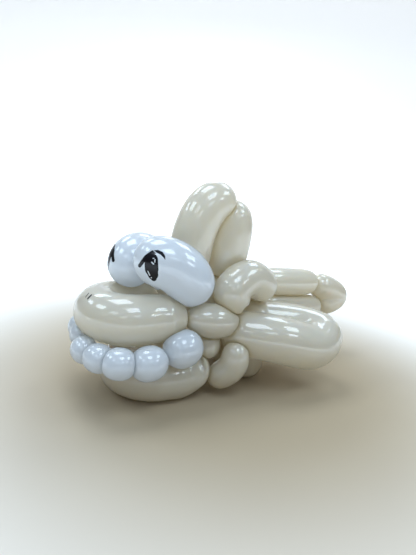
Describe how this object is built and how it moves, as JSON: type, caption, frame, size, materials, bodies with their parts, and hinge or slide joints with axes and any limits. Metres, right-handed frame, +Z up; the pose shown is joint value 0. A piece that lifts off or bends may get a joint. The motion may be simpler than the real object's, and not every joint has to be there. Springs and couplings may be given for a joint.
{
  "type": "balloon shark",
  "caption": "Shark twisted from inflated modelling balloons: U-bent jaws, a row of round white teeth, bean eyes, folded fins, a tall dorsal fin and a looped tail.",
  "frame": {"origin": "under the middle of the shark's bounding box, on the surface that it stands on", "axes": "+Z up, the nose points to -Y and the tail to +Y, and the shark's left side is +X"},
  "size_m": [0.1876, 0.3602, 0.2042],
  "materials": {
    "ivory_latex": "glossy, slightly translucent inflated latex",
    "white_latex": "glossy, slightly translucent inflated latex"
  },
  "bodies": {
    "root": {"upper_jaw": "ivory_latex", "lower_jaw": "ivory_latex", "teeth": "white_latex", "left_eye": "white_latex", "right_eye": "white_latex", "left_gill": "ivory_latex", "right_gill": "ivory_latex", "left_shoulder": "ivory_latex", "right_shoulder": "ivory_latex", "left_pectoral_fin": "ivory_latex", "right_pectoral_fin": "ivory_latex", "dorsal_fin": "ivory_latex", "body": "ivory_latex", "tail": "ivory_latex"}
  },
  "joints": []
}
